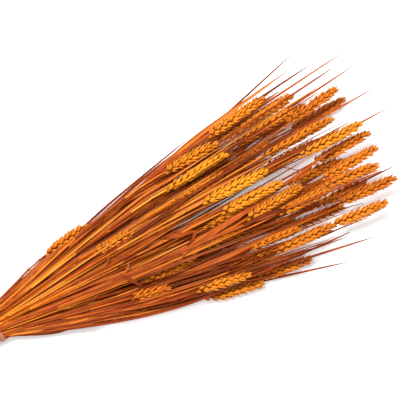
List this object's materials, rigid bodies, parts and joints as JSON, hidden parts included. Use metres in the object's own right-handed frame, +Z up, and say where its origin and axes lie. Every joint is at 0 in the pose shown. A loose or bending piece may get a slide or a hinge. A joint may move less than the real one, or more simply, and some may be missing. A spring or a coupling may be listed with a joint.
{
  "type": "bunch of dried wheat ears",
  "caption": "Tied bunch of orange-dyed dried wheat, lying down: stems pinched by a wound rubber band and fanning out to plump ears and thin dry leaf blades.",
  "frame": {"origin": "bottom centre of the bounding box, on the surface the bunch lies on", "axes": "+X along the bunch, from the cut stem ends to the ears; +Y across the fan; +Z up from the surface"},
  "size_m": [0.6954, 0.2754, 0.0694],
  "materials": {
    "dyed_wheat": "dyed dry straw and husk, satin with bright streaks",
    "dried_leaf": "matte dried leaf, pinkish brown",
    "rubber_band": "matte tan rubber"
  },
  "bodies": {
    "root": {"stalk_01": "dyed_wheat", "stalk_02": "dyed_wheat", "stalk_03": "dyed_wheat", "stalk_04": "dyed_wheat", "stalk_05": "dyed_wheat", "stalk_06": "dyed_wheat", "stalk_07": "dyed_wheat", "stalk_08": "dyed_wheat", "stalk_09": "dyed_wheat", "stalk_10": "dyed_wheat", "stalk_11": "dyed_wheat", "stalk_12": "dyed_wheat", "stalk_13": "dyed_wheat", "stalk_14": "dyed_wheat", "stalk_15": "dyed_wheat", "stalk_16": "dyed_wheat", "stalk_17": "dyed_wheat", "stalk_18": "dyed_wheat", "stalk_19": "dyed_wheat", "stalk_20": "dyed_wheat", "stalk_21": "dyed_wheat", "stalk_22": "dyed_wheat", "stalk_23": "dyed_wheat", "stalk_24": "dyed_wheat", "stalk_25": "dyed_wheat", "stalk_26": "dyed_wheat", "stalk_27": "dyed_wheat", "stalk_28": "dyed_wheat", "stalk_29": "dyed_wheat", "stalk_30": "dyed_wheat", "stalk_31": "dyed_wheat", "stalk_32": "dyed_wheat", "stalk_33": "dyed_wheat", "stalk_34": "dyed_wheat", "stalk_35": "dyed_wheat", "stalk_36": "dyed_wheat", "stalk_37": "dyed_wheat", "stalk_38": "dyed_wheat", "stalk_39": "dyed_wheat", "stalk_40": "dyed_wheat", "stalk_41": "dyed_wheat", "stalk_42": "dyed_wheat", "leaf_01": "dried_leaf", "leaf_02": "dried_leaf", "leaf_03": "dried_leaf", "leaf_04": "dried_leaf", "leaf_05": "dried_leaf", "leaf_06": "dried_leaf", "leaf_07": "dried_leaf", "leaf_08": "dried_leaf", "leaf_09": "dried_leaf", "leaf_10": "dried_leaf", "leaf_11": "dried_leaf", "leaf_12": "dried_leaf", "leaf_13": "dried_leaf", "leaf_14": "dried_leaf", "leaf_15": "dried_leaf", "leaf_16": "dried_leaf", "tie": "rubber_band"}
  },
  "joints": []
}
